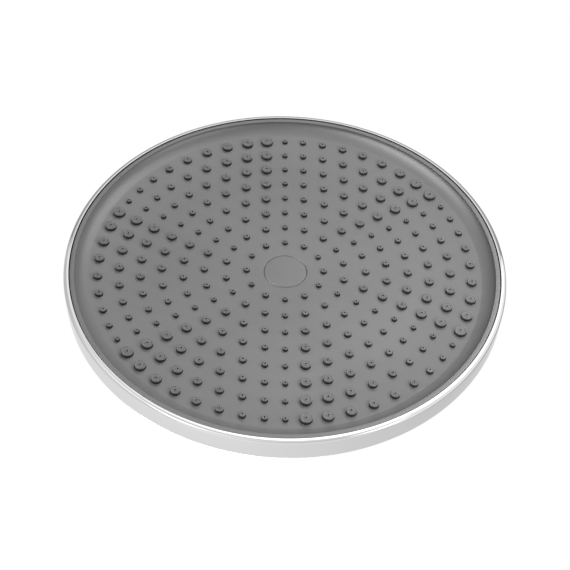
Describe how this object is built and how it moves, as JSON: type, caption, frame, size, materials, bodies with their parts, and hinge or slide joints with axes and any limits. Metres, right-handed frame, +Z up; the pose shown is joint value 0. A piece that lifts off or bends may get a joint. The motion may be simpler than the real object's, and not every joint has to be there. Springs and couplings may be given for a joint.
{
  "type": "shower head",
  "caption": "Round overhead rain shower head: domed chrome casing, recessed grey nozzle face and a ball joint with a threaded pipe inlet.",
  "frame": {"origin": "on the inlet's axis, at the outer end of the inlet thread, one millimetre inside the hexagon's end face", "axes": "+Z up along the supply pipe, out of the inlet; the spray face looks down, along -Z; +X and +Y along the head, with +Y at the spray pattern's twelve o'clock line of small nozzles"},
  "size_m": [0.36, 0.36, 0.0844],
  "materials": {
    "chrome_casing": "polished",
    "chrome_fitting": "polished",
    "brass": "satin",
    "steel": "satin",
    "grey_plastic": "matte",
    "grey_silicone": "matte",
    "black_rubber": "matte",
    "liner_plastic": "satin",
    "cover_plastic": "matte",
    "limiter_plastic": "satin",
    "limiter_rubber": "satin"
  },
  "bodies": {
    "inlet": {"ball_stud": "chrome_fitting", "inlet_gasket": "black_rubber", "filter_screen": "steel", "flow_limiter": "limiter_plastic", "limiter_ring": "limiter_rubber"},
    "liner": {"ball_liner": "liner_plastic"},
    "thrust_ring": {"pressure_ring": "brass"},
    "head": {"collar_nut": "chrome_fitting", "socket_body": "chrome_fitting", "flange_seal": "black_rubber", "hub_washer": "steel", "lock_nut": "brass", "spigot_seal": "black_rubber", "screw_bridge": "brass", "casing": "chrome_casing", "chamber_cover": "cover_plastic", "chamber_seal": "black_rubber", "chamber_screws": "steel", "flow_baffle": "liner_plastic", "spray_plate": "grey_plastic", "nozzles_ring_1": "grey_silicone", "nozzles_ring_2": "grey_silicone", "nozzles_ring_3": "grey_silicone", "nozzles_ring_4": "grey_silicone", "nozzles_ring_5": "grey_silicone", "nozzles_ring_6": "grey_silicone", "nozzles_ring_7": "grey_silicone", "nozzles_ring_8": "grey_silicone", "post_washer": "black_rubber", "centre_screw": "steel", "centre_cover": "grey_plastic"}
  },
  "joints": [
    {"name": "ball_swivel", "type": "hinge", "parent": "inlet", "child": "liner", "pos_m": [0, 0, -0.035], "axis": [0, 0, 1], "continuous": true},
    {"name": "ball_tilt", "type": "hinge", "parent": "liner", "child": "thrust_ring", "pos_m": [0, 0, -0.035], "axis": [1, 0, 0], "range_deg": [-15, 15]},
    {"name": "head_spin", "type": "hinge", "parent": "thrust_ring", "child": "head", "pos_m": [0, 0, -0.035], "axis": [0, 0, 1], "continuous": true}
  ]
}
